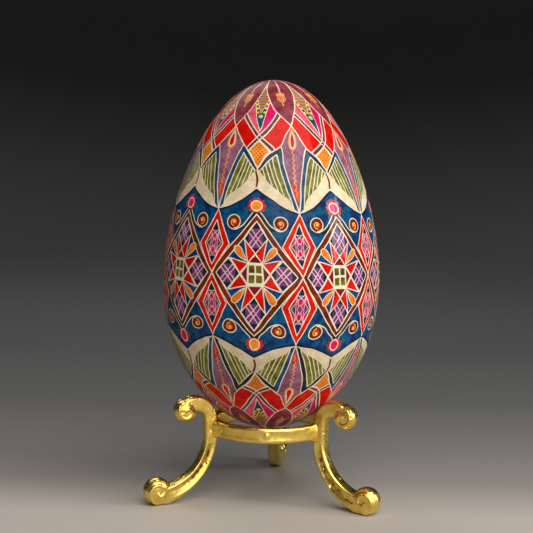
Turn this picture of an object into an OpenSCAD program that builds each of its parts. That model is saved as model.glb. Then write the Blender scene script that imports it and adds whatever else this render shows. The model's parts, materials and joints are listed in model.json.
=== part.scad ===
// Decorated goose egg standing in a cast three-legged egg stand.
// Millimetres, +Z up. The origin lies on the surface the feet stand on, under the axis of the ring.
// The legs are named as seen from the front (-Y): left, right and back.

/* [Egg] */
// Widest diameter of the bare shell
egg_d = 56; // [50:0.5:62]
// Length of the bare shell from pole to pole
egg_len = 90.2; // [80:0.2:100]
// Height of the lower pole above the floor
egg_base_z = 18; // [18:0.05:19]
// Thickness of the shell wall
shell_t = 0.55; // [0.4:0.05:0.8]
// Thickness of the dyed and varnished coat on the shell
coat_t = 0.1; // [0.06:0.01:0.15]
// Thickness of the dried lining skin inside the shell
skin_t = 0.1; // [0.06:0.01:0.2]
// Free space between the shell and its lining skin
skin_gap = 0.05; // [0.03:0.01:0.1]
// Radius of the hole in the lower pole through which the egg was emptied
blow_r = 1.3; // [0.8:0.1:2]
// How full the egg is below its middle (first shape term, negative is fuller below)
shape_a = -0.1655; // [-0.2:0.005:-0.1]
// Second shape term of the egg outline
shape_b = -0.0362; // [-0.06:0.002:0]
// Third shape term of the egg outline
shape_c = 0.0907; // [0.05:0.002:0.12]

/* [Ring] */
// Outer radius of the ring that ties the legs together
ring_r = 15.8; // [15.6:0.1:16.2]
// Radial thickness of the ring
ring_t = 2.5; // [1.6:0.1:2.6]
// Height of the ring's band
ring_h = 4.1; // [2.6:0.1:4.2]
// Height of the ring's lower edge above the floor
ring_z = 16.6; // [16:0.1:17.2]
// Depth of the shallow channel around the outside of the ring
ring_groove = 0.22; // [0.1:0.02:0.3]

/* [Legs] */
// Angle by which the three legs are turned clockwise, seen from above
leg_turn = 5.6; // [0:0.1:15]
// Width of a leg across its flat sides
leg_w = 3.2; // [2.4:0.1:3.4]
// Thickness of a leg between its inner and outer faces
leg_t = 2.4; // [2:0.1:2.6]
// Distance of the upright of a leg from the axis, to its middle
leg_r = 16.7; // [16.5:0.1:17]
// Rounding of the long edges of a leg
leg_round = 0.55; // [0.3:0.05:0.8]
// Radius of the lower sweep, to the middle of the leg
sweep_r = 13.9; // [13.5:0.1:14.2]
// Height at which the lower sweep begins
sweep_z = 17; // [16.5:0.1:17.5]
// Radius of the upper crook, to the middle of the leg
crook_r = 4.05; // [3.9:0.05:4.2]
// Height of the crook's centre
crook_z = 22.3; // [22:0.05:22.3]
// Radius of the scroll at the top of a leg
scroll_r = 3.35; // [3:0.05:3.5]
// Width of the upper scroll
scroll_w = 3.8; // [3:0.1:4.4]
// Distance of the upper scroll's centre from the axis
scroll_at = 23.2; // [23.2:0.1:23.8]
// Height of the upper scroll's centre
scroll_z = 24; // [23.6:0.1:24.1]
// Radius of the scroll that forms the foot
foot_r = 3.5; // [3.2:0.05:3.7]
// Width of the foot scroll
foot_w = 5; // [4:0.1:5.6]
// Distance of the foot's centre from the axis
foot_at = 30.8; // [30.6:0.1:31.4]
// Depth of the flat worn on the underside of the foot
sole = 0.08; // [0.05:0.01:0.15]
// Radius of the solder fillets between the ring and the legs
solder_r = 1.5; // [0.8:0.1:2]

/* [Hidden] */
$fn = 72;
rings = 72;
foot_z = foot_r - sole;
left_at = 210 - leg_turn;
right_at = 330 - leg_turn;
back_at = 90 - leg_turn;
sweep_x = leg_r + sweep_r;
crook_x = leg_r + crook_r;
eps = 0.01;

// Outline of the egg: s runs from -1 at the lower pole to +1 at the upper pole.
function girth(s) = sqrt(max(0, 1 - s * s)) * (1 + shape_a * s + shape_b * s * s + shape_c * s * s * s);
steps = [for (i = [0 : rings]) -cos(180 * i / rings)];
widest = max([for (s = steps) girth(s)]);
// Points of the outline grown outward by g, measured from the floor.
function egg_points(g) = [for (s = steps)
    [(egg_d / 2 + g) * girth(s) / widest, egg_base_z + egg_len / 2 + (egg_len / 2 + g) * s]];

// Solid egg, grown outward by g (a negative g gives the hollow).
module egg_solid(g) {
    rotate_extrude() polygon(egg_points(g));
}

// Drill for the emptying hole, from below the egg into its hollow.
module blow_drill(r) {
    translate([0, 0, egg_base_z - 2]) cylinder(r = r, h = 6);
}

module lacquer_coat() {
    color([0.72, 0.16, 0.12]) difference() {
        egg_solid(coat_t);
        egg_solid(0);
        blow_drill(blow_r);
    }
}

module egg_shell() {
    color([0.93, 0.89, 0.79]) difference() {
        egg_solid(0);
        egg_solid(-shell_t);
        blow_drill(blow_r);
    }
}

module shell_membrane() {
    color([0.95, 0.9, 0.82]) difference() {
        egg_solid(-shell_t - skin_gap);
        egg_solid(-shell_t - skin_gap - skin_t);
        blow_drill(blow_r + 0.5);
    }
}

// Wax pressed into the emptying hole, with a low bead inside.
module hole_plug() {
    color([0.83, 0.66, 0.3]) {
        translate([0, 0, egg_base_z - 0.05]) cylinder(r = blow_r, h = shell_t + 0.45);
    }
}

// Section of the ring: a band with rounded edges and a shallow channel in its outer face.
module ring_section() {
    e = 0.5;
    difference() {
        union() {
            translate([ring_r - ring_t, e]) square([ring_t, ring_h - 2 * e]);
            translate([ring_r - ring_t + e, 0]) square([ring_t - 2 * e, ring_h]);
            for (x = [ring_r - ring_t + e, ring_r - e])
                for (y = [e, ring_h - e])
                    translate([x, y]) circle(e);
        }
        translate([ring_r + 3 - ring_groove, ring_h / 2]) circle(3);
    }
}

module stand_ring() {
    color([0.85, 0.66, 0.25]) translate([0, 0, ring_z]) rotate_extrude() ring_section();
}

// Rounded rectangle, centred, t across and w high.
module bar_section(t, w) {
    square([t - 2 * leg_round, w], center = true);
    square([t, w - 2 * leg_round], center = true);
    for (x = [-1, 1])
        for (y = [-1, 1])
            translate([x * (t / 2 - leg_round), y * (w / 2 - leg_round)]) circle(leg_round);
}

// Part of a leg bent to radius r about [x, z], from angle a, turning through b degrees.
module bend(x, z, r, a, b) {
    translate([x, 0, z]) rotate([90, 0, 0]) rotate([0, 0, a])
        rotate_extrude(angle = b) translate([r, 0]) bar_section(leg_t, leg_w);
}

// Scroll end of a leg: a disc with a rounded rim and a small eye on both sides.
module scroll(x, z, r, w) {
    translate([x, 0, z]) rotate([90, 0, 0]) {
        rotate_extrude() {
            square([r - w / 2 + eps, w / 2]);
            translate([0, -w / 2]) square([r - w / 2 + eps, w / 2 + eps]);
            translate([r - w / 2, 0]) intersection() {
                circle(w / 2);
                translate([0, -w]) square([w, 2 * w]);
            }
        }
        cylinder(r = 0.75, h = w + 0.6, center = true);
    }
}

// Flat web, w wide, drawn in the plane of the leg.
module web(w) {
    rotate([90, 0, 0]) translate([0, 0, -w / 2]) linear_extrude(w) children();
}

// One leg, pointing along +X.
module leg() {
    difference() {
        union() {
            // the upright ends exactly where the two bends begin
            translate([leg_r, 0, sweep_z]) linear_extrude(crook_z - sweep_z)
                bar_section(leg_t, leg_w);
            bend(sweep_x, sweep_z, sweep_r, 180, 83);
            bend(crook_x, crook_z, crook_r, 180, -125);
            scroll(scroll_at, scroll_z, scroll_r, scroll_w);
            scroll(foot_at, foot_z, foot_r, foot_w);
            // thickening on the inside of the crook
            web(leg_w - 0.5) intersection() {
                difference() {
                    translate([crook_x, crook_z]) circle(crook_r - 0.6);
                    translate([crook_x - 0.4, crook_z - 1.4]) circle(crook_r - 1.65);
                }
                translate([leg_r, crook_z - 1.1]) square([6, 6]);
            }
            // thickening under the end of the lower sweep
            web(leg_w - 0.4) intersection() {
                difference() {
                    translate([sweep_x + 0.95, sweep_z]) circle(sweep_r + leg_t / 2 + 1.1);
                    translate([sweep_x, sweep_z]) circle(sweep_r + 0.4);
                }
                translate([leg_r, 0.6]) square([foot_at - leg_r, sweep_z - 2.6]);
            }
        }
        // seat for the ring
        translate([0, 0, ring_z]) cylinder(r = ring_r, h = ring_h);
        // flute along both sides of the lower sweep
        for (s = [-1, 1])
            translate([sweep_x, s * (leg_w / 2 + 0.15), sweep_z]) rotate([90, 0, 0])
                rotate([0, 0, 195]) rotate_extrude(angle = 55)
                    translate([sweep_r, 0]) circle(0.5);
        // worn flat under the foot
        translate([foot_at - 10, -10, -5]) cube([20, 20, 5]);
    }
}

module leg_left() {
    color([0.86, 0.67, 0.26]) rotate([0, 0, left_at]) leg();
}

module leg_right() {
    color([0.84, 0.65, 0.24]) rotate([0, 0, right_at]) leg();
}

module leg_back() {
    color([0.82, 0.63, 0.22]) rotate([0, 0, back_at]) leg();
}

// Hollow-faced bead of solder in the corner between the ring and one side of a leg.
module solder_bead(s) {
    side = s * leg_w / 2;
    translate([0, 0, ring_z + 0.55]) linear_extrude(ring_h - 1.1) difference() {
        translate([ring_r - 0.6, s > 0 ? side : side - solder_r]) square([0.5 + solder_r, solder_r]);
        circle(ring_r, $fn = 720);
        translate([ring_r - 0.1 + solder_r, side + s * solder_r]) circle(solder_r, $fn = 180);
    }
}

module solder_fillets() {
    color([0.8, 0.62, 0.26])
        for (a = [left_at, right_at, back_at])
            for (s = [-1, 1])
                rotate([0, 0, a]) solder_bead(s);
}

lacquer_coat();
egg_shell();
shell_membrane();
hole_plug();
stand_ring();
leg_left();
leg_right();
leg_back();
solder_fillets();
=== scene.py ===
"""Looks of a dyed and varnished goose egg on a small gilt stand.

The egg's drawing repeats eight times around. One sector of it is drawn in a flat chart and
laid on the egg eight times. A point of the chart is (u, a): u runs from -0.5 to 0.5 across the
sector, and a is the distance in millimetres along the egg's outline, up from the belt line.
"""

import json
import math

import bmesh
import bpy
import numpy as np
from mathutils import Matrix, Vector, noise
from mathutils.geometry import delaunay_2d_cdt


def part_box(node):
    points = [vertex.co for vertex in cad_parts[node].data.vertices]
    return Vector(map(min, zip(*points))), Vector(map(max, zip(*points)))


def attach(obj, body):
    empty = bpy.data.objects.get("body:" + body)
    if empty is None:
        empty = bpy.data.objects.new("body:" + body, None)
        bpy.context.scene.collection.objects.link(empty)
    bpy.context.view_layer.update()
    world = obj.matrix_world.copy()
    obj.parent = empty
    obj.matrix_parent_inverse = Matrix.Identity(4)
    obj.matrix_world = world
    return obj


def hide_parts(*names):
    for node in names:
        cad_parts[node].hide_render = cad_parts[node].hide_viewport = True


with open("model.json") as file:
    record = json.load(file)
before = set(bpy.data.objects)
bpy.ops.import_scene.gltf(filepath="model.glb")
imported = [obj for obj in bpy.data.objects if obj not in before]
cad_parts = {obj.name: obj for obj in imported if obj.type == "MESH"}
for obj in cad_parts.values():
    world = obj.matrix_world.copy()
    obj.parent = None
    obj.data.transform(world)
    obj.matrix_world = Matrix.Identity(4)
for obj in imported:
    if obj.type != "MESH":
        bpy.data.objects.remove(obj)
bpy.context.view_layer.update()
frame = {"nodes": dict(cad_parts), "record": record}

MM = 0.001
SECTORS = 8
# longitude of the middle of the first sector, from the front toward the right
FIRST_AT = math.radians(-8.6)
# height of the drawing's belt line, as a share of the egg's height
BELT_AT = 0.4696
# how much lower the drawing sits on the right of the egg, per millimetre
DRAWING_TILT = 0.0232
# width of the usual wax pen line, and of the finest one, in mm
LINE = 0.26
FINE = 0.2
# how far left of the egg's upper pole the drawing's pole lies, in mm
POLE_SHIFT = 1.2
# places where the hand strayed most: longitude in degrees, height, along, up, reach in mm
STRAYS = (
    (-9, 90.5, -0.5, 0.4, 4),
    (36, 92.5, 1.3, -1.1, 6),
    (3, 91.3, 1.3, -0.3, 3),
    (24, 91.3, -1.0, 0, 3),
    (14, 96, 0.4, 0, 2.5),
    (-31, 78, 0, 0.6, 4),
    (14, 77, 0.4, 0, 4),
    (33, 79, -0.4, 0.2, 3.5),
    (-53, 61, -0.5, -0.2, 6),
    (-9, 60, 0.4, 0.1, 5),
    (14, 60, 0.6, -0.35, 4),
    (14, 46, -0.3, -1.3, 6),
)
# the longest straight step of a pen line and of the surface mesh, in mm
STEP = 1.15


# ---------------------------------------------------------------- the egg's outline

def egg_girth(s):
    """Half width of the egg at s, which runs from -1 at the lower pole to 1 at the upper one."""
    return np.sqrt(np.maximum(0, 1 - s * s)) * (1 - 0.1655 * s - 0.0362 * s ** 2 + 0.0907 * s ** 3)


class EggOutline:
    """Distance along the outline against radius, height and slope, in mm."""

    def __init__(self, node):
        low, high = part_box(node)
        s = -np.cos(np.linspace(0, math.pi, 1441))
        girth = egg_girth(s)
        self.radii = girth / girth.max() * high.x / MM
        self.heights = (low.z + (high.z - low.z) * (s + 1) / 2) / MM
        steps = np.hypot(np.diff(self.radii), np.diff(self.heights))
        lengths = np.concatenate(([0], np.cumsum(steps)))
        belt = (low.z + (high.z - low.z) * BELT_AT) / MM
        self.lengths = lengths - np.interp(belt, self.heights, lengths)
        self.top = self.lengths[-1]
        self.bottom = self.lengths[0]

    def radius(self, a):
        return np.interp(a, self.lengths, self.radii)

    def height(self, a):
        return np.interp(a, self.lengths, self.heights)

    def sector_width(self, a):
        return max(0.5, 2 * math.pi * float(self.radius(a)) / SECTORS)

    def normal_parts(self, a):
        """Outward and upward parts of the surface normal."""
        rise = self.height(a + 0.15) - self.height(a - 0.15)
        spread = self.radius(a + 0.15) - self.radius(a - 0.15)
        size = np.hypot(rise, spread)
        return rise / size, -spread / size


EGG = EggOutline("lacquer_coat")
CHART_WIDTH = EGG.sector_width(0)

# height in the drawing above which the ground is petal coloured
GROUND_SPLIT = 44
# heights of the upper half of the drawing and the matching ones of the flatter lower half
UPPER_HEIGHTS = [0, 12.8, 14.5, 15.1, 20.85, 25.4, 26.3, 29.3, 32.5, 34.3, 37.7, 41.4, EGG.top]
LOWER_HEIGHTS = [0, 13.5, 14.8, 15.9, 20.4, 24.5, 25.1, 27.9, 30.0, 31.2, 35.7, 38.6, -EGG.bottom]


# ---------------------------------------------------------------- outlines for the pen

def mix(start, end, share):
    return (start[0] + (end[0] - start[0]) * share, start[1] + (end[1] - start[1]) * share)


def mirrored(points):
    return [(-u, a) for u, a in points]


def curve(points, parts=5):
    """A smooth line through the points."""
    smooth = []
    for i in range(len(points) - 1):
        before = points[max(i - 1, 0)]
        start = points[i]
        end = points[i + 1]
        after = points[min(i + 2, len(points) - 1)]
        for j in range(parts):
            t = j / parts
            smooth.append(tuple(
                0.5 * (2 * q + (r - p) * t + (2 * p - 5 * q + 4 * r - s) * t ** 2
                       + (3 * q - p - 3 * r + s) * t ** 3)
                for p, q, r, s in zip(before, start, end, after)))
    smooth.append(points[-1])
    return smooth


def about(centre, radius, angle):
    """The point at a distance in mm and an angle in degrees from a centre in the chart."""
    turn = math.radians(angle)
    width = EGG.sector_width(centre[1])
    return (centre[0] + radius * math.cos(turn) / width, centre[1] + radius * math.sin(turn))


def disc(centre, radius, corners=14):
    return [about(centre, radius, 360 * i / corners) for i in range(corners)]


def drop(wide, narrow, half_width, corners=10):
    """A teardrop from its round end to its point; the half width is in mm."""
    width = EGG.sector_width(wide[1])
    along = Vector(((narrow[0] - wide[0]) * width, narrow[1] - wide[1]))
    length = along.length
    along.normalize()
    across = Vector((-along.y, along.x))
    points = []
    for i in range(2 * corners):
        turn = math.pi * i / corners
        reach = length * (1 - math.cos(turn)) / 2
        fullness = max(0, math.sin(math.pi * (reach / length) ** 0.56)) ** 0.9
        half = half_width * fullness * (1 if i < corners else -1)
        spot = along * reach + across * half
        points.append((wide[0] + spot.x / width, wide[1] + spot.y))
    return points


def corner_turn(before, here, after):
    """Angle in degrees by which a line turns at a point."""
    width = EGG.sector_width(here[1])
    first = Vector(((here[0] - before[0]) * width, here[1] - before[1]))
    second = Vector(((after[0] - here[0]) * width, after[1] - here[1]))
    if first.length < 1e-6 or second.length < 1e-6:
        return 0
    return math.degrees(first.angle(second))


def even(points):
    """The same line with points at most one step apart."""
    spread = [points[0]]
    for start, end in zip(points, points[1:]):
        width = EGG.sector_width((start[1] + end[1]) / 2)
        length = math.hypot((end[0] - start[0]) * width, end[1] - start[1])
        parts = max(1, math.ceil(length / STEP))
        spread += [mix(start, end, (j + 1) / parts) for j in range(parts)]
    return spread


def thinned(points):
    """The same line without the points that crowd one another."""
    kept = [points[0]]
    for point in points[1:-1]:
        width = EGG.sector_width(point[1])
        if math.hypot((point[0] - kept[-1][0]) * width, point[1] - kept[-1][1]) > 0.34:
            kept.append(point)
    return kept + points[-1:]


class Drawing:
    """Fills and pen lines of one sector; each one covers those before it."""

    def __init__(self):
        self.points = []
        self.faces = []
        self.inks = []
        self.lower = False

    def on_half(self, points):
        """Points moved to the half of the egg that is being drawn."""
        if not self.lower:
            return points
        moved = []
        for u, a in points:
            # the kites of the lower half are narrower and reach further down
            bulge = 0
            for border in (-1, 0, 1):
                off = u - border
                bulge += math.copysign(math.exp(-((abs(off) - 0.27) / 0.13) ** 2), off)
            bulge *= math.exp(-((a - 32.5) / 3) ** 2)
            fall = 1.3 * abs(bulge)
            fall += math.exp(-((abs(u) - 0.5) / 0.16) ** 2 - ((a - 37.5) / 3) ** 2)
            moved.append((u + 0.055 * bulge, -float(np.interp(a, UPPER_HEIGHTS, LOWER_HEIGHTS)) - fall))
        return moved

    def add(self, points, faces, ink):
        """Adds faces, and their copies where they reach into a neighbouring sector."""
        lowest = min(u for u, a in points)
        highest = max(u for u, a in points)
        for shift in (-1, 0, 1):
            if highest + shift <= -0.5 or lowest + shift >= 0.5:
                continue
            start = len(self.points)
            self.points += [Vector(((u + shift) * CHART_WIDTH, a)) for u, a in points]
            for face in faces:
                self.add_face([start + i for i in face], ink)

    def add_face(self, face, ink):
        spots = [self.points[i] for i in face]
        area = sum(p.x * q.y - q.x * p.y for p, q in zip(spots, spots[1:] + spots[:1]))
        if abs(area) < 2e-5:
            return
        if area < 0:
            face = face[::-1]
        self.faces.append(face)
        self.inks.append(ink)

    def covers(self, face, x, y):
        """Whether a point of the chart lies inside a face."""
        inside = False
        spots = [self.points[i] for i in self.faces[face]]
        for p, q in zip(spots, spots[1:] + spots[:1]):
            if (p.y > y) != (q.y > y) and x < p.x + (q.x - p.x) * (y - p.y) / (q.y - p.y):
                inside = not inside
        return inside

    def fill(self, outline, ink):
        points = self.on_half(even(outline + outline[:1])[:-1])
        self.add(points, [range(len(points))], ink)

    def dot(self, centre, radius, ink, corners=8, tall=1):
        """A round spot that stays round where the lower half is flattened."""
        centre = self.on_half([centre])[0]
        rim = [about(centre, radius, 360 * i / corners) for i in range(corners)]
        rim = [(u, centre[1] + (a - centre[1]) * tall) for u, a in rim]
        self.add(rim, [range(corners)], ink)

    def pen(self, path, ink="cream", width=LINE):
        """A pen line with round ends, lifted and set down again at each sharp corner."""
        start = 0
        for i in range(1, len(path)):
            last = i == len(path) - 1
            if last or corner_turn(path[i - 1], path[i], path[i + 1]) > 35:
                self.stroke(self.on_half(even(thinned(path[start:i + 1]))), ink, width)
                start = i

    def outline(self, path, ink="cream", width=LINE):
        self.pen(path + path[:1], ink, width)

    def stroke(self, path, ink, width):
        sides = []
        for i, (u, a) in enumerate(path):
            before = path[max(i - 1, 0)]
            after = path[min(i + 1, len(path) - 1)]
            wide = EGG.sector_width(a)
            run = Vector(((after[0] - before[0]) * wide, after[1] - before[1])).normalized()
            press = noise.noise(Vector((u * 11, a * 0.45, 3.1)))
            half = width / 2 * (1 + 0.2 * press)
            sides.append((u - run.y * half / wide, a + run.x * half))
            sides.append((u + run.y * half / wide, a - run.x * half))
        faces = []
        for i in range(0, len(sides) - 2, 2):
            faces.append([i, i + 1, i + 3])
            faces.append([i, i + 3, i + 2])
        self.add(sides, faces, ink)
        for end in (path[0], path[-1]):
            round_end = disc(end, width / 2, 8)
            self.add(round_end, [range(len(round_end))], ink)


# ---------------------------------------------------------------- parts of the drawing

PETAL_EDGE = [(0.5, 37.7), (0.36, 40.9), (0.26, 43.2), (0.13, 47.4), (0.04, 51.4), (0, 54.5)]
WEB_EDGE = [(0.5, 37.7), (0.25, 32.4), (0.13, 29.9), (0, 26.0)]
SCALLOP = [(0.5, 15.1), (0.41, 15.7), (0.32, 16.5), (0.22, 17.7), (0.11, 19.2), (0, 20.85)]
KITE_EDGE = [(0.5, 37.7), (0.25, 32.3), (0.335, 29), (0.405, 24.2), (0.46, 19), (0.5, 15.2)]
CHEVRON_TOP = [(0, 25.9), (0.1, 29.5), (0.25, 32.3)]
GREEN_CORNER = (0.03, 25.5)
GREEN_APEX = (0.225, 30.0)
GREEN_TIP = (0.435, 16.4)
GREEN_SIDE = [GREEN_APEX, (0.293, 27.6), (0.368, 22.0), (0.425, 17.6), GREEN_TIP]
GREEN_HEM = [GREEN_TIP, (0.39, 18.3), (0.29, 20.1), (0.17, 22.1), (0.074, 24.6), GREEN_CORNER]
STAR_OUTER = [(0, 14.5), (0.16, 10.2), (0.31, 6.0), (0.42, 2.8), (0.5, 0)]
STAR_INNER = [(0, 12.8), (0.07, 10.9), (0.14, 8.6), (0.275, 4.6), (0.365, 2.1), (0.445, 0)]


def both_ways(half_edge):
    """A line on one side of the sector joined to its mirror image, from left to right."""
    return mirrored(half_edge)[::-1] + half_edge[::-1] if half_edge[0][0] else \
        mirrored(half_edge)[::-1] + half_edge[1:]


def across_gap(half_edge):
    """A closed outline about the border with the next sector, from its left half."""
    return half_edge + [(1 - u, a) for u, a in half_edge[-2:0:-1]]


def draw_ground(art):
    """What shows where nothing else is drawn: bone near the belt, petal colour near the poles."""
    art.fill([(-0.6, -1), (0.6, -1), (0.6, GROUND_SPLIT), (-0.6, GROUND_SPLIT)], "bone")
    art.fill([(-0.6, GROUND_SPLIT), (0.6, GROUND_SPLIT), (0.6, 70), (-0.6, 70)], "petal")


def draw_petal(art):
    """The petal across the sector border: stem, bar and drips on a mauve ground."""
    edge = curve(PETAL_EDGE, 3)
    art.fill(edge + [(0, EGG.top), (1, EGG.top)] + [(1 - u, a) for u, a in edge[:0:-1]], "petal")
    for side in (edge, [(1 - u, a) for u, a in edge]):
        art.pen(side)
    art.pen([(0, 54.5), (0, EGG.top - 1)])
    art.fill([(0.455, EGG.top), (0.46, 52.0), (0.475, 48.6), (0.525, 48.6), (0.54, 52.0), (0.545, EGG.top)], "blush")
    bar = [(0.5 + 0.13 * math.cos(math.tau * i / 14), 47.9 + 0.75 * math.sin(math.tau * i / 14)) for i in range(14)]
    art.fill(bar, "apricot")
    for end in ((0.41, 45.9), (0.455, 45.4), (0.5, 43.9), (0.545, 45.3), (0.59, 45.9)):
        art.pen([(end[0], 47.6), end], "apricot", 0.26)
        art.dot(end, 0.2, "yellow", 6)


def draw_wedge(art):
    """The long wedge between two petals, with its hatched kite and rows of dots."""
    art.fill([(0, 35), (0.4, 40.5), (0.2, 47), (0, 47)], "magenta")
    art.fill([(0, 35), (-0.4, 40.5), (-0.2, 47), (0, 47)], "pink")
    for side in (-1, 1):
        inner = [(0, 35.9), (side * 0.05, 38.4), (side * 0.11, 41.8), (side * 0.2, 45.6)]
        art.fill(inner + [(side * 0.26, 49), (0, 49)], "soot" if art.lower else "teal")
        art.pen(inner, "cream", FINE)
    art.fill([(-0.085, 40.4), (0.085, 40.4), (0, 36.4)], "teal")
    kite = [(0, 54.5), (-0.15, 48.5), (-0.16, 46.0), (0, 41.4), (0.16, 46.0), (0.15, 48.5)]
    art.fill(kite, "hatch")
    for i in range(9):
        height = 43.0 + i * 1.05
        half = min(0.14, 0.012 + 0.028 * (height - 41.4), 0.03 * (54.5 - height))
        art.pen([(-half, height), (half, height + 0.2)], "plum", 0.2)
    art.outline(kite, "straw", 0.18)
    for side in (-1, 1):
        for i in range(5):
            spot = mix((side * 0.075, 41.6), (side * 0.2, 46.8), i / 4)
            art.pen([spot, about(spot, 0.95, 90 - side * 20)], "soot", 0.3)
            art.dot(spot, 0.42, "yellow", 8)
    art.dot((0, 40.4), 0.55, "yellow", 10)


def draw_red_webs(art):
    """The red fields between the crossed bands."""
    web = [(0.38, 41.8), (0.5, 37.6), (0.25, 32.5), (0.17, 30.4), (0.03, 34.2)]
    art.fill(web, "red")
    art.fill(mirrored(web), "red")


def draw_net(art):
    """The orange net diamond below the crossing, with its red dots."""
    top, left, low, right = (0, 33.3), (-0.175, 29.7), (0, 26.3), (0.175, 29.7)
    art.fill([top, left, low, right], "net")
    for i in range(1, 7):
        for j in range(1, 7):
            spot = mix(mix(top, left, i / 7), mix(right, low, i / 7), j / 7)
            art.dot(spot, 0.23, "ember", 5)
    art.outline([top, left, low, right])


def draw_crossed_bands(art):
    for side in (-1, 1):
        band = [(side * 0.38, 41.8), (side * 0.17, 37.5), (0, 34.2), (-side * 0.2, 30.2)]
        art.pen(band, "cream", 1.22)
        art.pen(band, "plum", 0.66)
    art.dot((0, 34.2), 0.8, "cream", 4)
    art.dot((0, 34.2), 0.5, "violet", 4)


def draw_bone_ground(art):
    art.fill([(0, 26.2), (0.05, 25.9), (0.3, 21), (0.5, 17.0), (0.5, 10), (-0.5, 10),
              (-0.5, 17.0), (-0.3, 21), (-0.05, 25.9)], "bone")


def draw_chevron(art, side):
    """The dark band over the striped triangle on one side."""
    band = CHEVRON_TOP + KITE_EDGE[2:] + curve(GREEN_HEM)
    fold = [GREEN_APEX, (0.25, 32.3)] + KITE_EDGE[2:] + [GREEN_TIP] + GREEN_SIDE[-2:0:-1]
    if side < 0:
        band = mirrored(band)
        fold = mirrored(fold)
    art.fill(band, "slate" if art.lower else "indigo")
    art.fill(fold, "slate" if art.lower and side < 0 else "steel")
    line = [(0, 25.9)] + CHEVRON_TOP[1:]
    art.pen(mirrored(line) if side < 0 else line)


def draw_green_triangle(art, side):
    """Striped green triangle: the stripes run along the kite's side."""
    flip = mirrored if side < 0 else list
    hem = curve(GREEN_HEM)
    art.fill(flip(GREEN_SIDE[:-1] + hem), "olive")
    hem_us = [u for u, a in hem[::-1]]
    hem_heights = [a for u, a in hem[::-1]]
    for i in range(1, 5):
        start = mix(GREEN_APEX, GREEN_CORNER, i / 5)
        stripe = [start]
        for j in range(1, 30):
            spot = (start[0] + 0.0075 * j, start[1] - 0.46 * j)
            if spot[1] < np.interp(spot[0], hem_us, hem_heights):
                break
            stripe.append(spot)
        if len(stripe) > 2:
            art.pen(flip(stripe), "cream", 0.24)
    art.pen(flip(GREEN_SIDE))
    art.pen(flip([GREEN_APEX, GREEN_CORNER]))


def draw_kite(art):
    """The long mauve kite across the sector border, with its drop, tail and block."""
    art.fill(across_gap(KITE_EDGE), "mauve")
    left = curve(KITE_EDGE[1:], 3)
    for edge in (left, [(1 - u, a) for u, a in left], WEB_EDGE, [(1 - u, a) for u, a in WEB_EDGE]):
        art.pen(edge)
    tail = [(0.5 + 0.016 * (-1) ** i, 31.4 - 10.2 * i / 15) for i in range(16)]
    art.pen(curve(tail, 2), "apricot", 0.27)
    art.fill([(0.465, 21.8), (0.532, 21.8), (0.52, 18.6), (0.478, 18.6)], "ember")
    art.pen([(0.515, 21.5), (0.485, 20.8), (0.513, 20.1), (0.488, 19.4), (0.505, 18.8)], "net", 0.2)
    for half_width, wide, narrow, ink in ((1.42, 31.3, 37.3, "apricot"), (0.98, 31.8, 36.6, "cream"),
                                          (0.68, 32.15, 35.9, "red")):
        art.fill(drop((0.5, wide), (0.5, narrow), half_width), ink)


def draw_blue_band(art):
    """The blue band, its scalloped edge and the short brown tie above each peak."""
    edge = curve(SCALLOP, 4)
    whole = mirrored(edge) + edge[-2::-1]
    art.fill(whole + [(0.5, -0.2), (-0.5, -0.2)], "blue")
    art.pen([(u, a - 0.25) for u, a in whole], "navy", 0.5)
    art.pen(curve([(0, 21.5), (0.006, 23.4), (-0.02, 25.3)], 3), "brown", 0.46)


def draw_sun(art):
    centre = (0, 16.5)
    tall = 1.15 if art.lower else 1
    art.dot(centre, 1.62, "red", 20, tall)
    for i in range(8):
        turn = -34 + 35.5 * i
        art.dot(about(centre, 1.74, turn), 0.44, "ember")
    art.dot(centre, 1.4, "cream", 20, tall)
    art.dot(centre, 1.1, "sun", 18, tall)
    for side in (-1, 1):
        art.pen([about(centre, 2.3, 90 - side * 100), about(centre, 3.3, 90 - side * 108)], "leaf", 0.24)
        art.pen([about(centre, 2.3, 90 - side * 112), about(centre, 3.0, 90 - side * 122)], "leaf", 0.2)


def draw_spiral(art, side):
    """A running scroll that starts at the sun's foot and curls up beside the small diamond."""
    flip = mirrored if side < 0 else list
    centre = (0.277, 12.45)
    rim = [about(centre, 1.86 - 0.3 * i / 26, -110 + 14.5 * i) for i in range(27)]
    curl = [about(centre, 1.0 - 0.85 * i / 18, 267 + 21 * i) for i in range(19)]
    foot = [(0.045, 14.9), (0.105, 13.3), (0.17, 11.6)]
    art.fill(flip([(0, 15.3)] + foot + [(0.235, 10.5), (0.16, 10.2), (0, 14.5)]), "slate")
    art.fill(flip(disc(centre, 1.86, 22)), "brown")
    art.fill(flip(disc(about(centre, 0.15, 200), 0.72, 14)), "ember")
    art.fill(flip(disc(centre, 0.34, 8)), "yellow")
    art.pen(flip(curl), "straw", 0.2)
    art.pen(flip(curve(foot + rim[0:1], 3)[:-1] + rim), "cream", 0.24)


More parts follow.
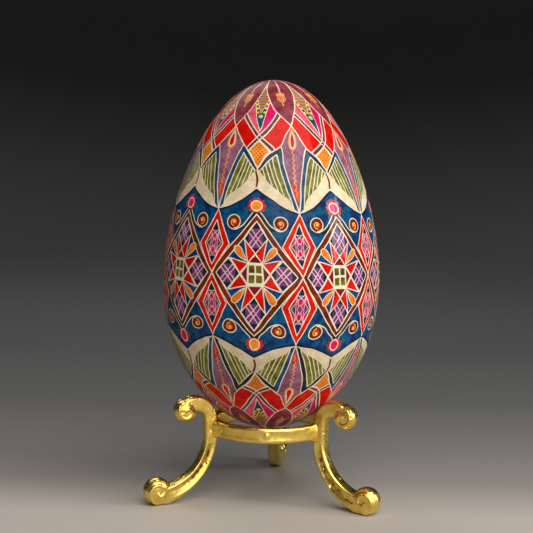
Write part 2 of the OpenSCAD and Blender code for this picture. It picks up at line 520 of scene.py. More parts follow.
def draw_small_diamond(art):
    """The red diamond across the sector border, with a magenta star on crossing pink lines."""
    outer = [(0.5, 15.0), (0.305, 6.9), (0.5, 0.1), (0.695, 6.9)]
    art.fill(outer, "red")
    art.outline(outer, "cream", 0.24)
    top, left, low, right = (0.5, 12.6), (0.382, 7.0), (0.5, 2.0), (0.618, 7.0)
    art.fill([top, left, low, right], "navy")
    centre = (0.5, 7.1)
    for side in (-1, 1):
        for way in (-1, 1):
            wide = (0.5 + side * 0.098, 7.1)
            tall = (0.5, 7.1 + way * 3.6)
            shoulder = (0.5 + side * 0.052, 7.1 + way * 2.75)
            art.fill([centre, wide, mix(wide, shoulder, 0.55)], "plum")
            art.fill([centre, mix(wide, shoulder, 0.5), shoulder, mix(centre, tall, 0.5)], "magenta")
            art.pen([centre, shoulder], "blush", 0.18)
            art.pen([wide, mix(centre, tall, 0.72)], "blush", 0.18)
            art.pen([mix(centre, wide, 0.45), shoulder], "blush", 0.15)
    for way in (-1, 1):
        art.pen([(0.448, 7.1 + way * 2.9), (0.552, 7.1 + way * 2.9)], "blush", 0.15)
        art.pen([(0.462, 7.1 + way * 3.2), (0.5, 7.1 + way * 2.2), (0.538, 7.1 + way * 3.2)], "blush", 0.13)
    jewel = [(0.5, 8.1), (0.468, 7.1), (0.5, 6.1), (0.532, 7.1)]
    art.fill(jewel, "violet")
    art.outline(jewel, "blush", 0.15)
    art.dot(centre, 0.24, "ember", 8)
    art.outline([top, left, low, right], "cream", 0.24)


def draw_lattice_diamond(art, top, right, low, left):
    """A mauve diamond with dark corners and two crossing pairs of lines."""
    corners = [top, right, low, left]
    art.fill(corners, "dusk")
    middle = mix(top, low, 0.5)
    art.fill([mix(middle, corner, 0.3) for corner in corners], "violet")
    for near, far, step in ((0.4, 0.6, 1), (0.4, 0.6, -1)):
        sides = corners[::step] if step > 0 else [corners[0]] + corners[:0:-1]
        first = [mix(sides[0], sides[1], near), mix(sides[3], sides[2], near)]
        second = [mix(sides[0], sides[1], far), mix(sides[3], sides[2], far)]
        art.pen(first, "lilac", 0.24)
        art.pen(second, "lilac", 0.24)
    for i in range(4):
        here = corners[i]
        art.fill([here, mix(here, corners[i - 1], 0.4), mix(here, corners[(i + 1) % 4], 0.4)], "navy")
    art.dot(mix(top, low, 0.5), 0.24, "ember", 7)
    art.outline(corners, "cream", 0.24)


def draw_star(art):
    """The large diamond on the belt: frame, lattice diamonds, rays, drops and centre."""
    frame_edge = both_ways(STAR_OUTER)
    art.fill(frame_edge, "brown")
    art.fill(both_ways(STAR_INNER), "azure")
    art.pen(frame_edge)
    art.pen(both_ways(STAR_INNER), "cream", 0.24)
    draw_lattice_diamond(art, (0, 12.8), (0.137, 8.5), (0, 4.9), (-0.137, 8.4))
    for side in (-1, 1):
        flip = mirrored if side < 0 else list
        for ray in ([(0, 4.9), (0.13, 8.5), (0.083, 2.5)], [(0.17, 0.15), (0.285, 3.6), (0.083, 2.5)]):
            art.fill(flip(ray), "red")
            art.outline(flip(ray), "cream", 0.24)
        bulb = drop((side * 0.232, 6.5), (side * 0.1, 3.0), 0.86)
        art.fill(bulb, "orange")
        art.outline(bulb, "cream", FINE)
    art.fill([(0, 4.5), (-0.07, 2.6), (0.07, 2.6)], "maroon")
    art.outline([(0, 4.7), (-0.083, 2.6), (0.083, 2.6)], "cream", 0.24)


def draw_belt(art):
    """What lies on the belt line itself: side lattices, side triangles and the centre square."""
    for side in (-1, 1):
        draw_lattice_diamond(art, (side * 0.302, 3.6), (side * 0.445, 0), (side * 0.302, -3.7),
                             (side * 0.17, 0))
        art.fill([(side * 0.15, 0), (side * 0.085, 1.8), (side * 0.085, -1.8)], "maroon")
        art.outline([(side * 0.16, 0), (side * 0.083, 2.3), (side * 0.083, -2.3)], "cream", 0.24)
    art.fill([(-0.092, 2.65), (0.092, 2.65), (0.092, -2.65), (-0.092, -2.65)], "cream")
    for u in (-0.04, 0.04):
        for a in (-1.15, 1.15):
            art.fill([(u - 0.031, a + 0.88), (u + 0.031, a + 0.88), (u + 0.031, a - 0.88),
                      (u - 0.031, a - 0.88)], "moss")
    for way in (-1, 1):
        art.pen([(0.47, way * 1.1), (0.5, 0), (0.53, way * 1.1)])


def draw_sector():
    """The whole drawing of one sector, upper half and lower half."""
    art = Drawing()
    for art.lower in (False, True):
        draw_ground(art)
        draw_wedge(art)
        draw_red_webs(art)
        draw_crossed_bands(art)
        draw_petal(art)
        draw_bone_ground(art)
        draw_net(art)
        for side in (-1, 1):
            draw_chevron(art, side)
            draw_green_triangle(art, side)
        draw_kite(art)
        art.pen(WEB_EDGE[-3:])
        art.pen(mirrored(WEB_EDGE[-3:]))
        draw_blue_band(art)
        for side in (-1, 1):
            draw_spiral(art, side)
        draw_sun(art)
        draw_small_diamond(art)
        draw_star(art)
    art.lower = False
    draw_belt(art)
    return art


# ---------------------------------------------------------------- inks

# each ink is a pair of dye shades that mottle into one another, as screen red, green, blue
INKS = {
    "cream": ((236, 224, 196), (222, 205, 172)),
    "bone": ((226, 210, 178), (208, 188, 152)),
    "blush": ((226, 186, 178), (208, 160, 150)),
    "red": ((222, 22, 6), (186, 8, 2)),
    "ember": ((228, 52, 18), (196, 26, 8)),
    "straw": ((236, 206, 128), (224, 186, 96)),
    "orange": ((236, 136, 44), (214, 104, 26)),
    "apricot": ((240, 160, 92), (226, 132, 66)),
    "net": ((238, 162, 66), (220, 132, 44)),
    "yellow": ((232, 204, 92), (214, 178, 62)),
    "olive": ((128, 130, 44), (84, 86, 16)),
    "moss": ((118, 106, 22), (74, 62, 6)),
    "leaf": ((70, 120, 90), (40, 90, 70)),
    "brown": ((126, 42, 12), (84, 24, 8)),
    "maroon": ((128, 24, 34), (92, 14, 20)),
    "blue": ((8, 82, 122), (6, 36, 86)),
    "azure": ((12, 78, 134), (8, 42, 98)),
    "navy": ((22, 34, 84), (14, 24, 52)),
    "teal": ((20, 88, 116), (14, 54, 80)),
    "slate": ((40, 50, 58), (20, 26, 34)),
    "steel": ((38, 84, 122), (26, 54, 84)),
    "soot": ((30, 24, 28), (18, 14, 18)),
    "mauve": ((154, 104, 128), (124, 74, 96)),
    "violet": ((120, 40, 130), (92, 30, 108)),
    "plum": ((112, 62, 84), (82, 40, 58)),
    "lilac": ((228, 190, 206), (206, 160, 182)),
    "dusk": ((122, 62, 98), (88, 48, 92)),
    "indigo": ((24, 62, 96), (16, 38, 66)),
    "petal": ((148, 62, 74), (112, 36, 48)),
    "pink": ((226, 96, 122), (206, 66, 92)),
    "magenta": ((220, 18, 108), (184, 8, 78)),
    "hatch": ((184, 130, 98), (158, 102, 74)),
}
SUN_ORANGE = ((242, 156, 52), (226, 122, 34))
SUN_PINK = ((226, 30, 118), (198, 14, 92))


def to_light(shade):
    """A screen colour as linear light."""
    parts = [c / 255 for c in shade]
    return [c / 12.92 if c <= 0.04045 else ((c + 0.055) / 1.055) ** 2.4 for c in parts] + [1]


# ---------------------------------------------------------------- the coat of dye on the egg

def mesh_rows():
    """Points that keep the coat's mesh even, with matching ones on both borders."""
    low = EGG.bottom + 1.3
    count = round((EGG.top - low) / STEP)
    points = []
    for i in range(count + 1):
        a = low + (EGG.top - low) * i / count
        across = max(1, round(EGG.sector_width(a) / STEP))
        us = {-0.5, 0.5}
        us |= {-0.5 + (j + 0.5 * (i % 2)) / across for j in range(1, across)}
        points += [Vector((u * CHART_WIDTH, a)) for u in us if abs(u) <= 0.5]
    return points


def chart_mesh(art):
    """Triangles of the drawing in the chart: (points, triangles, ink of each triangle)."""
    low = EGG.bottom + 1.3
    edge = CHART_WIDTH / 2
    rows = mesh_rows()
    points = art.points + rows
    borders = []
    for side in (-edge, edge):
        rim = [i for i in range(len(art.points), len(points)) if abs(points[i].x - side) < 1e-9]
        rim.sort(key=lambda i: points[i].y)
        borders += list(zip(rim, rim[1:]))
    ends = [i for i in range(len(art.points), len(points)) if abs(points[i].y - low) < 1e-9]
    ends.sort(key=lambda i: points[i].x)
    borders += list(zip(ends, ends[1:]))
    result = delaunay_2d_cdt(points, borders, art.faces, 0, 1e-4, True)
    spots, triangles, origins = result[0], result[2], result[5]
    kept = []
    inks = []
    for triangle, covering in zip(triangles, origins):
        x = sum(spots[i].x for i in triangle) / 3
        y = sum(spots[i].y for i in triangle) / 3
        if abs(x) < edge and low < y < EGG.top:
            ground = art.inks.index("bone" if -38 < y < GROUND_SPLIT else "petal")
            uppermost = max((i for i in covering if art.covers(i, x, y)), default=ground)
            kept.append(triangle)
            inks.append(art.inks[uppermost])
    used = sorted({i for triangle in kept for i in triangle})
    place = {old: new for new, old in enumerate(used)}
    flat = np.array([(spots[i].x / CHART_WIDTH, spots[i].y) for i in used])
    return flat, [[place[i] for i in triangle] for triangle in kept], inks


def hand_drift(spot):
    """How far the hand strayed at a point of the egg, as a vector in mm."""
    drift = 0.36 * noise.noise_vector(spot / 9)
    drift += 0.13 * noise.noise_vector(spot / 2.4 + Vector((40, 0, 0)))
    drift.x -= POLE_SHIFT * min(1, max(0, (spot.z - 74) / 34)) ** 0.7
    for longitude, height, along, up, reach in STRAYS:
        turn = math.radians(longitude)
        radius = float(np.interp(height, EGG.heights, EGG.radii))
        centre = Vector((radius * math.sin(turn), -radius * math.cos(turn), height))
        share = math.exp(-((spot - centre).length / reach) ** 2)
        drift += share * Vector((along * math.cos(turn), along * math.sin(turn), up))
    return drift


def lay_on_egg(flat, sector):
    """Places the chart's points on the egg: (points in metres, normals)."""
    points = []
    normals = []
    for u, a in flat:
        turn = FIRST_AT + math.tau * (sector + u) / SECTORS
        radius = float(EGG.radius(a))
        spot = Vector((radius * math.sin(turn), -radius * math.cos(turn), float(EGG.height(a))))
        loose = 1 if a > 0 else min(1, max(0, (radius - 1.35) / 4))
        drift = hand_drift(spot) * loose
        moved = spot + drift
        outward, upward = EGG.normal_parts(a)
        a += outward * (drift.z - DRAWING_TILT * spot.x * loose)
        a -= upward * (math.hypot(moved.x, moved.y) - radius)
        a = min(EGG.top, a)
        turn = math.atan2(moved.x, -moved.y)
        radius = float(EGG.radius(a))
        outward, upward = EGG.normal_parts(a)
        points.append((radius * math.sin(turn) * MM, -radius * math.cos(turn) * MM,
                       float(EGG.height(a)) * MM))
        normals.append((outward * math.sin(turn), -outward * math.cos(turn), upward))
    return points, normals


def paint(mesh, inks, sector):
    """Stores both dye shades of every triangle on its corners."""
    shades = {name: (to_light(pair[0]), to_light(pair[1])) for name, pair in INKS.items()}
    sun = SUN_PINK if sector % 2 else SUN_ORANGE
    shades["sun"] = (to_light(sun[0]), to_light(sun[1]))
    for layer, name in enumerate(("dye_a", "dye_b")):
        colours = mesh.color_attributes.new(name, "FLOAT_COLOR", "CORNER")
        values = np.zeros((len(mesh.loops), 4), np.float32)
        for polygon in mesh.polygons:
            shade = shades[inks[polygon.index]][layer]
            values[polygon.loop_start:polygon.loop_start + polygon.loop_total] = shade
        colours.data.foreach_set("color", values.ravel())


def painted_sector(flat, triangles, inks, sector, material):
    points, normals = lay_on_egg(flat, sector)
    mesh = bpy.data.meshes.new(f"painted_sector_{sector + 1}")
    mesh.from_pydata(points, [], triangles)
    mesh.update()
    paint(mesh, inks, sector)
    mesh.shade_smooth()
    mesh.normals_split_custom_set_from_vertices(normals)
    return add_piece(mesh.name, mesh, material, "egg", "dyed_varnish", "lacquer_coat")


# ---------------------------------------------------------------- pieces

def add_piece(name, mesh, material, body, slot, *nodes):
    """Puts a finished mesh in the scene as a piece of the object."""
    piece = bpy.data.objects.new(name, mesh)
    bpy.context.scene.collection.objects.link(piece)
    mesh.materials.append(material)
    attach(piece, body)
    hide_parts(*nodes)
    return piece


def cast_mesh(name, shape, voxel, smoothing):
    """Melts overlapping solids, drawn in mm, into one soft casting."""
    rough = bpy.data.meshes.new(name)
    shape.to_mesh(rough)
    shape.free()
    holder = bpy.data.objects.new(name, rough)
    bpy.context.scene.collection.objects.link(holder)
    remesh = holder.modifiers.new("melt", "REMESH")
    remesh.mode = "VOXEL"
    remesh.voxel_size = voxel
    smooth = holder.modifiers.new("soften", "SMOOTH")
    smooth.factor = 0.5
    smooth.iterations = smoothing
    graph = bpy.context.evaluated_depsgraph_get()
    mesh = bpy.data.meshes.new_from_object(holder.evaluated_get(graph))
    bpy.data.objects.remove(holder)
    bpy.data.meshes.remove(rough)
    mesh.name = name
    return mesh


def shift_out(mesh, amount):
    """Moves every point along its normal by amount(point), in mm."""
    normals = [vertex.normal.copy() for vertex in mesh.vertices]
    spots = [vertex.co.copy() for vertex in mesh.vertices]
    moved = [spot + normal * amount(spot) for spot, normal in zip(spots, normals)]
    mesh.vertices.foreach_set("co", [c for spot in moved for c in (spot.x, spot.y, max(0, spot.z))])
    mesh.update()


def tube(shape, sections, closed=False):
    """Skins a row of closed sections, each a list of points."""
    rings = [[shape.verts.new(point) for point in section] for section in sections]
    pairs = list(zip(rings, rings[1:]))
    if closed:
        pairs.append((rings[-1], rings[0]))
    for first, second in pairs:
        for i in range(len(first)):
            shape.faces.new((first[i - 1], first[i], second[i], second[i - 1]))
    if not closed:
        shape.faces.new(rings[0][::-1])
        shape.faces.new(rings[-1])


# ---------------------------------------------------------------- the gilt stand

RING_LOW, RING_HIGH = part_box("stand_ring")
RING_R = RING_HIGH.x / MM
RING_Z = RING_LOW.z / MM
RING_H = (RING_HIGH.z - RING_LOW.z) / MM
RING_T = 2.5
FOOT_MOUNTS = {m["name"]: Vector(m["pos_m"]) / MM
               for m in frame["record"]["mounts"] if m["name"].startswith("foot_")}
FOOT_AT = math.hypot(*FOOT_MOUNTS["foot_left"].xy)
LEG_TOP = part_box("leg_back")[1].z / MM
# a leg's middle line, in mm: distance from the axis and height
UPRIGHT_X = RING_R + 0.9
SWEEP_X = FOOT_AT - 0.2
SWEEP_Z = RING_Z + 0.3
CROOK_R = 4.05
CROOK_Z = LEG_TOP - 5.5
FOOT_R = 3.5


def superellipse(half_x, half_y, corners, power):
    """Points of a rounded rectangle."""
    points = []
    for i in range(corners):
        turn = math.tau * i / corners
        c = math.cos(turn)
        s = math.sin(turn)
        points.append((half_x * math.copysign(abs(c) ** (2 / power), c),
                       half_y * math.copysign(abs(s) ** (2 / power), s)))
    return points


def leg_section(x, z, turn, inner, outer, width, flute):
    """Section of a leg: inner and outer thickness from the middle line, and a groove in its sides."""
    points = []
    for across, side in superellipse(1, width / 2, 36, 4.4):
        reach = (outer if across > 0 else inner) * across
        side -= math.copysign(flute * math.exp(-(across / 0.5) ** 4), side)
        points.append((x + reach * math.cos(turn), side, z + reach * math.sin(turn)))
    return points


def lower_leg(shape):
    """The upright and the long sweep down to the foot; it grows thicker on the way."""
    radius = SWEEP_X - UPRIGHT_X
    sections = [leg_section(UPRIGHT_X, CROOK_Z, math.pi, 1.45, 1.85, 3.3, 0.05)]
    for i in range(33):
        share = i / 32
        angle = math.pi + math.radians(92) * share
        flute = 0.7 * math.sin(math.pi * min(1, share * 1.12)) ** 0.8
        height = SWEEP_Z + radius * math.sin(angle)
        under = 1.35 + 0.5 * (1 - share) + 2.3 * share ** 2.2
        if share > 0.5:
            under = min(under, height / abs(math.sin(angle)) - 0.04)
        sections.append(leg_section(SWEEP_X + radius * math.cos(angle), height, angle,
                                    1.45 + 0.2 * share, under, 3.3 + 1.3 * share ** 2, flute))
    tube(shape, sections)


def crook(shape, lean):
    """The bend at the top that carries the egg and turns over into the scroll."""
    centre_x = UPRIGHT_X + CROOK_R
    sections = [leg_section(UPRIGHT_X, SWEEP_Z, math.pi, 1.45, 1.85, 3.3, 0.05)]
    for i in range(29):
        share = i / 28
        angle = math.pi - math.radians(165) * share
        swell = 0.25 * (1 - share) + 1.2 * math.sin(math.pi * min(1, share * 1.05)) ** 1.1
        sections.append(leg_section(centre_x + CROOK_R * math.cos(angle) + lean * share,
                                    CROOK_Z + CROOK_R * math.sin(angle), angle,
                                    1.45 + swell, 1.3 + 0.5 * max(0, 1 - 5 * share), 3.3 + 0.7 * share, 0.05))
    tube(shape, sections)


def scroll(shape, x, z, radius, width, start, way):
    """A rolled end: a full disc with a raised spiral on both faces."""
    sections = []
    for i in range(1, 28):
        tilt = math.pi * i / 28 - math.pi / 2
        reach = radius * math.cos(tilt) ** 0.55
        side = width / 2 * math.sin(tilt)
        sections.append([(x + reach * math.cos(math.tau * j / 40), side,
                          z + reach * math.sin(math.tau * j / 40)) for j in range(40)])
    tube(shape, sections)
    for face in (-1, 1):
        spiral = []
        for i in range(40):
            turn = start + way * 0.19 * i
            reach = radius * (0.84 - 0.74 * i / 39)
            height = face * (width / 2 * (1 - (reach / radius) ** 3.2) ** 0.45 - 0.06)
            grain = 0.42 * (1 - 0.35 * i / 39)
            middle = Vector((x + reach * math.cos(turn), height, z + reach * math.sin(turn)))
            out = Vector((math.cos(turn), 0, math.sin(turn)))
            spiral.append([middle + out * grain * math.cos(math.tau * j / 10)
                           + Vector((0, grain * math.sin(math.tau * j / 10), 0)) for j in range(10)])
        tube(shape, spiral)


def paint_groove_shade(mesh, lumps):
    """Marks painted shade, a dark brown laid into the side grooves of the sweep, from 0 to 1."""
    marks = mesh.attributes.new("painted_groove_shade", "FLOAT", "POINT")
    values = []
    for vertex in mesh.vertices:
        x, y, z = vertex.co
        off = math.hypot(x - SWEEP_X, z - SWEEP_Z) - (SWEEP_X - UPRIGHT_X)
        along = math.atan2(SWEEP_Z - z, SWEEP_X - x) / math.radians(83)
        depth = math.exp(-(off / 0.42) ** 2) * min(1, max(0, (abs(y) - 0.7) / 0.3))
        reach = min(1, max(0, (along - 0.08) / 0.15)) * min(1, max(0, (0.8 - along) / 0.2))
        ragged = 0.5 + 1.4 * noise.noise(vertex.co / 1.4 + lumps)
        values.append(min(1, max(0, depth * reach * ragged * 1.5)))
    marks.data.foreach_set("value", values)


def leg_mesh(name, lean, seed):
    """One leg in mm, pointing along +X, with the unevenness of a small casting."""
    shape = bmesh.new()
    lower_leg(shape)
    crook(shape, lean)
    scroll(shape, UPRIGHT_X + 6.7 + lean, LEG_TOP - 4.0, 3.0, 4.4, math.radians(80), -1)
    scroll(shape, FOOT_AT, FOOT_R - 0.05, FOOT_R, 5.0, math.radians(275), 1)
    mesh = cast_mesh(name, shape, 0.15, 3)
    lumps = Vector((seed * 7.3, 2.1, 0))

    def unevenness(spot):
        pit = max(0, noise.noise(spot / 1.15 - lumps) - 0.42)
        return 0.07 * noise.noise(spot / 2.6 + lumps) + 0.022 * noise.noise(spot / 0.8 + lumps) - 0.55 * pit

    shift_out(mesh, unevenness)
    # painted shade: the side grooves are marked to be coloured dark brown
    paint_groove_shade(mesh, lumps)
    return mesh


def to_place(mesh, azimuth):
    """Turns a mesh drawn in mm to its azimuth and to metres."""
    mesh.transform(Matrix.Scale(MM, 4) @ Matrix.Rotation(azimuth, 4, "Z"))
    mesh.shade_smooth()
    return mesh


def build_legs(material):
    for i, (side, lean) in enumerate((("left", 0.1), ("right", 0.55), ("back", 0.2))):
        mount = FOOT_MOUNTS[f"foot_{side}"]
        mesh = to_place(leg_mesh(f"cast_leg_{side}", lean, i + 1), math.atan2(mount.y, mount.x))
        add_piece(mesh.name, mesh, material, "stand", "gold_plate", f"leg_{side}")


def build_ring(material):
    """The band that ties the legs: two soft rims with a shallow channel, and a casting nub."""
    shape = bmesh.new()
    sections = []
    count = 260
    for i in range(count):
        turn = math.tau * i / count
        section = []
        for x, z in superellipse(RING_T / 2, RING_H / 2, 44, 3.4):
            channel = 0.2 * math.exp(-(z / 1.1) ** 4) if x > 0 else 0
            reach = RING_R - RING_T / 2 + x - channel
            spot = Vector((reach * math.cos(turn), reach * math.sin(turn), RING_Z + RING_H / 2 + z))
            nub = math.hypot((turn - math.radians(268.6)) * RING_R, z - 0.1)
            lump = 0.09 * noise.noise(spot / 2.3) + 0.03 * noise.noise(spot / 0.9)
            lump += 0.6 * math.exp(-(nub / 0.55) ** 2) if x > 0 else 0
            section.append(spot + Vector((math.cos(turn), math.sin(turn), 0)) * lump)
        sections.append(section)
    tube(shape, sections, closed=True)
    mesh = bpy.data.meshes.new("cast_ring")
    shape.to_mesh(mesh)
    shape.free()
    to_place(mesh, 0)
    add_piece(mesh.name, mesh, material, "stand", "gold_plate", "stand_ring")


def build_solder(material):
    """Flares of solder that run from each leg out along the ring."""
    shape = bmesh.new()
    for mount in FOOT_MOUNTS.values():
        azimuth = math.atan2(mount.y, mount.x)
        for side in (-1, 1):
            sections = []
            for i in range(13):
                share = i / 12
                turn = azimuth + side * (0.08 + 0.2 * share)
                thick = 1.3 * (1 - share) ** 1.7 + 0.12
                tall = RING_H / 2 * (0.86 + 0.42 * (1 - share) ** 2)
                reach = RING_R - 0.25
                section = []
                for x, z in superellipse(thick, tall, 20, 2.6):
                    spot = reach + x * (1 if x > 0 else 0.4)
                    section.append((spot * math.cos(turn), spot * math.sin(turn),
                                    RING_Z + RING_H / 2 + z))
                sections.append(section if side > 0 else section[::-1])
            tube(shape, sections)
    mesh = cast_mesh("solder_flares", shape, 0.16, 5)
    shift_out(mesh, lambda spot: 0.1 * noise.noise(spot / 1.3))
    add_piece(mesh.name, to_place(mesh, 0), material, "stand", "solder", "solder_fillets")


def build_wax_bead(material):
    """Wax pressed into the emptying hole at the lower pole."""
    low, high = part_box("hole_plug")
    radius = high.x / MM
    shape = bmesh.new()
    sections = []
    for i in range(1, 13):
        turn = math.pi * i / 13 - math.pi / 2
        reach = radius * math.cos(turn) ** 0.5
        height = (low.z + high.z) / 2 / MM + (high.z - low.z) / 2 / MM * math.sin(turn)
        ring = []
        for j in range(28):
            spot = Vector((reach * math.cos(math.tau * j / 28), reach * math.sin(math.tau * j / 28), height))
            ring.append(spot * (1 + 0.004 * noise.noise(spot * 1.7)))
        sections.append(ring)
    tube(shape, sections)
    mesh = bpy.data.meshes.new("wax_bead")
    shape.to_mesh(mesh)
    shape.free()
    add_piece(mesh.name, to_place(mesh, 0), material, "egg", "beeswax", "hole_plug")


# ---------------------------------------------------------------- materials

class Nodes:
    """Short calls for building a material's nodes."""

    def __init__(self, name):
        self.material = bpy.data.materials.new(name)
        self.material.use_nodes = True
        self.tree = self.material.node_tree
        self.shader = self.tree.nodes["Principled BSDF"]
        self.where = self.tree.nodes.new("ShaderNodeTexCoord").outputs["Object"]

    def set(self, **values):
        for name, value in values.items():
            self.shader.inputs[name.replace("_", " ")].default_value = value

    def link(self, output, socket):
        self.tree.links.new(output, self.shader.inputs[socket] if isinstance(socket, str) else socket)

    def noise(self, scale, detail=3, roughness=0.55):
        node = self.tree.nodes.new("ShaderNodeTexNoise")
        node.inputs["Scale"].default_value = scale
        node.inputs["Detail"].default_value = detail
        node.inputs["Roughness"].default_value = roughness
        self.link(self.where, node.inputs["Vector"])
        return node.outputs["Fac"]

    def span(self, value, low, high, start=0.3, end=0.7):
        """A value stretched from start..end to low..high."""
        node = self.tree.nodes.new("ShaderNodeMapRange")
        for name, number in (("From Min", start), ("From Max", end), ("To Min", low), ("To Max", high)):
            node.inputs[name].default_value = number
        self.link(value, node.inputs["Value"])
        return node.outputs["Result"]

    def blend(self, share, first, second, kind="MIX"):
        node = self.tree.nodes.new("ShaderNodeMix")
        node.data_type = "RGBA"
        node.blend_type = kind
        for socket, value in ((node.inputs[0], share), (node.inputs[6], first), (node.inputs[7], second)):
            if isinstance(value, bpy.types.NodeSocket):
                self.link(value, socket)
            else:
                socket.default_value = value
        return node.outputs[2]

    def attribute(self, name, output="Color"):
        node = self.tree.nodes.new("ShaderNodeAttribute")
        node.attribute_name = name
        return node.outputs[output]

    def bump(self, height, strength, distance):
        node = self.tree.nodes.new("ShaderNodeBump")
        node.inputs["Strength"].default_value = strength
        node.inputs["Distance"].default_value = distance
        self.link(height, node.inputs["Height"])
        self.link(node.outputs["Normal"], "Normal")


def varnish_material():
    """Dyes that took unevenly, under a clear satin varnish over the pores of the shell."""
    nodes = Nodes("dyed_varnish")
    blotches = nodes.span(nodes.noise(420, 4, 0.65), -0.15, 1.15, 0.36, 0.64)
    dye = nodes.blend(blotches, nodes.attribute("dye_a"), nodes.attribute("dye_b"))
    grain = nodes.span(nodes.noise(2600, 2), 0.0, 0.16, 0.35, 0.7)
    dye = nodes.blend(grain, dye, (0.02, 0.012, 0.01, 1))
    wash = nodes.span(nodes.noise(60, 2), 0.0, 0.3, 0.4, 0.7)
    dye = nodes.blend(wash, dye, (0.62, 0.56, 0.5, 1), "MULTIPLY")
    nodes.link(dye, "Base Color")
    nodes.link(nodes.span(nodes.noise(700), 0.3, 0.42), "Roughness")
    nodes.set(Coat_Weight=0.18, Coat_Roughness=0.07, Specular_IOR_Level=0.03)
    nodes.bump(nodes.noise(1900, 3), 0.12, 0.0001)
    return nodes.material


def gold_material():
    """Bright gold plate over a casting, finely pitted, with painted dark brown shade in the side grooves of the
    legs.
    """
    nodes = Nodes("gold_plate")
    patches = nodes.span(nodes.noise(260, 4), 0, 1, 0.38, 0.66)
    colour = nodes.blend(patches, (0.97, 0.73, 0.19, 1), (0.88, 0.6, 0.12, 1))
    specks = nodes.span(nodes.noise(3800, 2), 0, 0.35, 0.62, 0.75)
    colour = nodes.blend(specks, colour, (0.3, 0.14, 0.03, 1))
    # painted shade: dark brown in the side grooves of the legs
    colour = nodes.blend(nodes.attribute("painted_groove_shade", "Fac"), colour, (0.2, 0.07, 0.015, 1))
    nodes.link(colour, "Base Color")
    nodes.link(nodes.span(nodes.noise(900), 0.21, 0.33), "Roughness")
    nodes.set(Metallic=1)
    nodes.bump(nodes.noise(1300, 4), 0.13, 0.00012)
    return nodes.material


def solder_material():
    """Gilded solder, a little paler and rougher than the plate."""
    nodes = Nodes("gilded_solder")
    colour = nodes.blend(nodes.span(nodes.noise(500), 0, 1), (0.95, 0.7, 0.16, 1), (0.86, 0.57, 0.1, 1))
    nodes.link(colour, "Base Color")
    nodes.link(nodes.span(nodes.noise(1100), 0.22, 0.36), "Roughness")
    nodes.set(Metallic=1)
    nodes.bump(nodes.noise(1600, 4), 0.3, 0.00012)
    return nodes.material


def eggshell_material():
    """The bare goose shell: warm white with fine pores."""
    nodes = Nodes("goose_shell")
    colour = nodes.blend(nodes.span(nodes.noise(90), 0, 1), (0.88, 0.82, 0.7, 1), (0.8, 0.72, 0.58, 1))
    pores = nodes.span(nodes.noise(3200, 2), 0, 0.4, 0.6, 0.72)
    nodes.link(nodes.blend(pores, colour, (0.55, 0.45, 0.33, 1)), "Base Color")
    nodes.link(nodes.span(nodes.noise(1500), 0.5, 0.65), "Roughness")
    nodes.bump(nodes.noise(2400, 3), 0.3, 0.0001)
    return nodes.material


def membrane_material():
    """The dried lining skin: thin fibres in a milky film."""
    nodes = Nodes("dried_membrane")
    fibres = nodes.span(nodes.noise(1800, 6, 0.75), 0, 1)
    nodes.link(nodes.blend(fibres, (0.86, 0.8, 0.68, 1), (0.74, 0.66, 0.52, 1)), "Base Color")
    nodes.link(nodes.span(nodes.noise(900), 0.55, 0.75), "Roughness")
    nodes.bump(nodes.noise(1800, 6, 0.75), 0.35, 0.0001)
    return nodes.material


def wax_material():
    """Beeswax: honey-coloured, cloudy and soft."""
    nodes = Nodes("beeswax")
    clouds = nodes.span(nodes.noise(700, 4), 0, 1)
    nodes.link(nodes.blend(clouds, (0.66, 0.4, 0.12, 1), (0.5, 0.27, 0.06, 1)), "Base Color")
    nodes.link(nodes.span(nodes.noise(1200), 0.35, 0.5), "Roughness")
    nodes.set(Subsurface_Weight=0.2)
    nodes.bump(nodes.noise(1500, 3), 0.25, 0.0001)
    return nodes.material


def painted_light_backdrop_material():
    """Paper whose colour carries painted light: a painted pool of light, pale under the object, that falls away to
    painted dark grey shade behind it.
    """
    nodes = Nodes("paper_sweep")
    parts = nodes.tree.nodes.new("ShaderNodeSeparateXYZ")
    nodes.link(nodes.where, parts.inputs[0])
    distance = nodes.tree.nodes.new("ShaderNodeMath")
    nodes.link(parts.outputs["Y"], distance.inputs[0])
    nodes.link(parts.outputs["Z"], distance.inputs[1])
    # painted light: the paper's colour falls off with distance back and up from the object, with a painted lighter
    # band on the wall
    ramp = nodes.tree.nodes.new("ShaderNodeValToRGB")
    painted_falloff_stops = ((0.0, (0.4, 0.36, 0.32)), (0.016, (0.22, 0.2, 0.18)), (0.033, (0.16, 0.152, 0.143)),
             (0.07, (0.09, 0.089, 0.087)), (0.13, (0.07, 0.07, 0.07)), (0.3, (0.088, 0.088, 0.088)),
             (0.45, (0.134, 0.134, 0.134)), (0.64, (0.038, 0.038, 0.038)), (0.71, (0.008, 0.008, 0.008)),
             (0.76, (0.004, 0.004, 0.004)))
    for spare in list(ramp.color_ramp.elements)[1:]:
        ramp.color_ramp.elements.remove(spare)
    ramp.color_ramp.elements[0].position = 0
    ramp.color_ramp.elements[0].color = (*painted_falloff_stops[0][1], 1)
    for position, colour in painted_falloff_stops[1:]:
        ramp.color_ramp.elements.new(position).color = (*colour, 1)
    nodes.link(nodes.span(distance.outputs[0], 0, 1, -0.02, 2.0), ramp.inputs["Fac"])
    nodes.link(ramp.outputs["Color"], "Base Color")
    nodes.link(nodes.span(nodes.noise(300), 0.75, 0.85), "Roughness")
    return nodes.material


# ---------------------------------------------------------------- studio

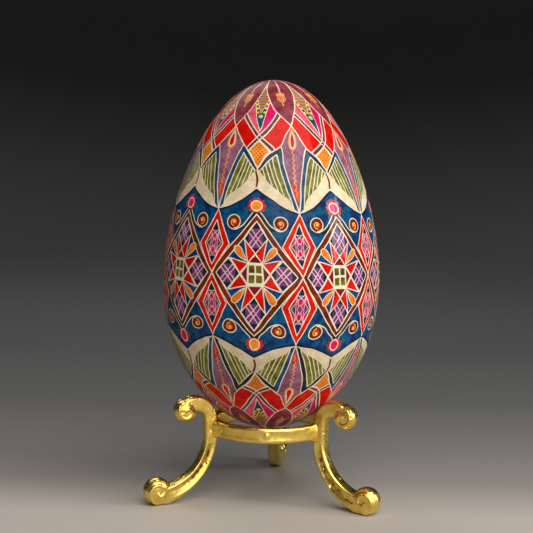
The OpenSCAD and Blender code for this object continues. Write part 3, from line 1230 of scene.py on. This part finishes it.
def build_backdrop():
    """A wide paper floor that curves up into a wall all around."""
    shape = bmesh.new()
    profile = [(0.001, 0), (0.3, 0), (0.6, 0), (0.9, 0)]
    profile += [(0.9 + 0.4 * math.sin(math.radians(t)), 0.4 - 0.4 * math.cos(math.radians(t)))
                for t in range(10, 91, 10)]
    profile += [(1.3, 1.0)]
    rings = []
    for reach, height in profile:
        rings.append([shape.verts.new((reach * math.cos(math.tau * j / 96),
                                       reach * math.sin(math.tau * j / 96), height)) for j in range(96)])
    for first, second in zip(rings, rings[1:]):
        for j in range(96):
            shape.faces.new((first[j - 1], first[j], second[j], second[j - 1]))
    shape.faces.new(rings[0])
    bmesh.ops.recalc_face_normals(shape, faces=shape.faces)
    mesh = bpy.data.meshes.new("paper_sweep")
    shape.to_mesh(mesh)
    shape.free()
    mesh.shade_smooth()
    sweep = bpy.data.objects.new("paper_sweep", mesh)
    bpy.context.scene.collection.objects.link(sweep)
    mesh.materials.append(painted_light_backdrop_material())


def softbox(name, place, target, width, height, power, tint=(1, 1, 1)):
    lamp = bpy.data.lights.new(name, "AREA")
    lamp.shape = "RECTANGLE"
    lamp.size = width
    lamp.size_y = height
    lamp.energy = power
    lamp.color = tint
    holder = bpy.data.objects.new(name, lamp)
    bpy.context.scene.collection.objects.link(holder)
    holder.location = place
    holder.rotation_euler = (Vector(target) - Vector(place)).to_track_quat("-Z", "Y").to_euler()


def build_lights(middle):
    for i in range(3):
        softbox(f"window_{i + 1}", (0.45 + 0.022 * i, -0.175 + 0.05 * i, 0.2), middle, 0.036, 0.17, 0.42,
                (0.92, 0.97, 1))
    softbox("canopy", (0.24, -0.44, 0.72), middle, 0.9, 0.7, 7.8, (1, 0.98, 0.95))
    softbox("front", (0.3, -0.9, 0.16), middle, 1.1, 0.8, 5.6, (1, 0.98, 0.95))
    softbox("back", (-0.2, 0.35, 0.5), middle, 0.4, 0.3, 0.7)
    world = bpy.data.worlds.new("studio")
    world.use_nodes = True
    world.node_tree.nodes["Background"].inputs["Color"].default_value = (1, 1, 1, 1)
    world.node_tree.nodes["Background"].inputs["Strength"].default_value = 0.06
    bpy.context.scene.world = world
    bpy.context.scene.view_settings.view_transform = "Standard"


def build_camera():
    """The photograph's viewpoint: in front, a little above the middle, very slightly rolled."""
    lens = bpy.data.cameras.new("camera")
    lens.lens = 79.7
    lens.sensor_width = 36
    camera = bpy.data.objects.new("camera", lens)
    bpy.context.scene.collection.objects.link(camera)
    camera.location = (-0.0013, -0.3067, 0.0867)
    tilt = Matrix.Rotation(math.radians(90 - 4.95), 4, "X")
    camera.rotation_euler = (tilt @ Matrix.Rotation(math.radians(1.16), 4, "Z")).to_euler()
    bpy.context.scene.camera = camera


# ---------------------------------------------------------------- the scene

def build():
    flat, triangles, inks = chart_mesh(draw_sector())
    print("chart", len(flat), len(triangles))
    varnish = varnish_material()
    for sector in range(SECTORS):
        painted_sector(flat, triangles, inks, sector, varnish)
    gold = gold_material()
    build_legs(gold)
    build_ring(gold)
    build_solder(solder_material())
    build_wax_bead(wax_material())
    for node, material in (("egg_shell", eggshell_material()), ("shell_membrane", membrane_material())):
        frame["nodes"][node].data.materials.clear()
        frame["nodes"][node].data.materials.append(material)
    build_backdrop()
    low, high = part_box("lacquer_coat")
    build_lights((0, 0, (low.z + high.z) / 2))
    build_camera()


build()
